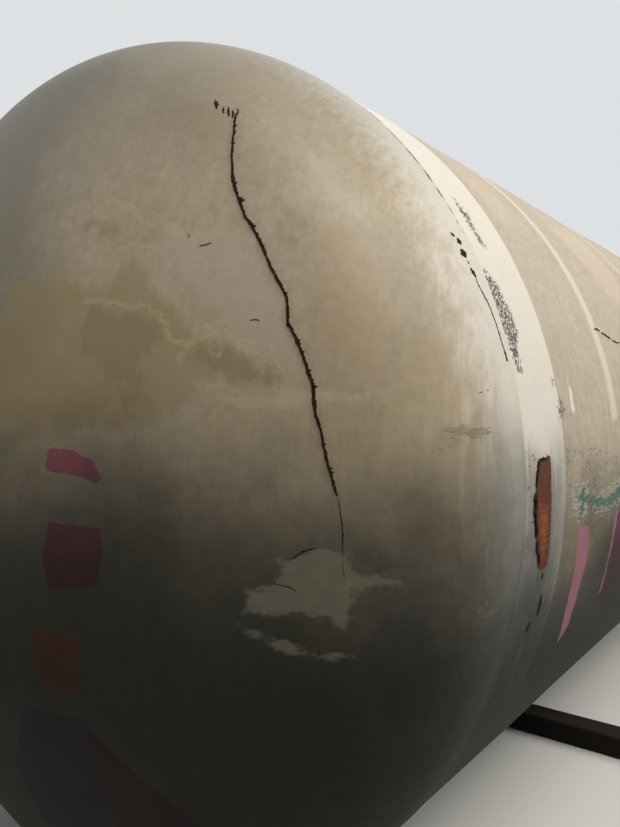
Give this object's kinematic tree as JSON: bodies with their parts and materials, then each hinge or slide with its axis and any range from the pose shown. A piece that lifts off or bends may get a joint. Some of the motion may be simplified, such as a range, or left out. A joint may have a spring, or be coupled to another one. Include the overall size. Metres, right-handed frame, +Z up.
{
  "type": "horizontal pressure tank",
  "caption": "Horizontal welded steel pressure tank with dished ends, an end manway, capped crown nozzles and lifting lugs, resting on timber bearers with wedges.",
  "frame": {"origin": "on the ground, below the middle of the tank's overall box", "axes": "+X along the tank from the plain head to the manway head, +Y across the tank, +Z up"},
  "size_m": [10.5189, 2.6, 2.793],
  "materials": {
    "head_paint": "glossy weathered cream-white enamel",
    "shell_paint": "glossy weathered cream enamel with a film of dust",
    "weld_bead": "painted weld bead with rust",
    "fitting_paint": "weathered enamel on forged steel",
    "gasket": "matt fibre-filled gasket sheet",
    "bearer_timber": "weathered sawn timber",
    "chock_timber": "weathered sawn timber"
  },
  "bodies": {
    "root": {"near_head": "head_paint", "far_head": "head_paint", "shell_course_1": "shell_paint", "shell_course_2": "shell_paint", "shell_course_3": "shell_paint", "shell_course_4": "shell_paint", "girth_weld_1": "weld_bead", "girth_weld_2": "weld_bead", "girth_weld_3": "weld_bead", "girth_weld_4": "weld_bead", "girth_weld_5": "weld_bead", "seam_weld_1": "weld_bead", "seam_weld_2": "weld_bead", "seam_weld_3": "weld_bead", "seam_weld_4": "weld_bead", "manway_pad": "fitting_paint", "manway_neck": "fitting_paint", "manway_flange": "fitting_paint", "manway_gasket": "gasket", "manway_cover": "fitting_paint", "cover_handles": "fitting_paint", "davit_bracket": "fitting_paint", "manway_davit": "fitting_paint", "relief_pad_1": "fitting_paint", "relief_pad_2": "fitting_paint", "relief_nozzle_1": "fitting_paint", "relief_nozzle_2": "fitting_paint", "relief_cover_1": "fitting_paint", "relief_cover_2": "fitting_paint", "vapour_pad": "fitting_paint", "vapour_nozzle": "fitting_paint", "vapour_cover": "fitting_paint", "outlet_pad": "fitting_paint", "outlet_cover": "fitting_paint", "drain_pad": "fitting_paint", "drain_cover": "fitting_paint", "lug_pad_near": "fitting_paint", "lug_pad_far": "fitting_paint", "lifting_lug_near": "fitting_paint", "lifting_lug_far": "fitting_paint", "bearer_near": "bearer_timber", "bearer_far": "bearer_timber", "chocks_near": "chock_timber", "chocks_far": "chock_timber"}
  },
  "joints": []
}
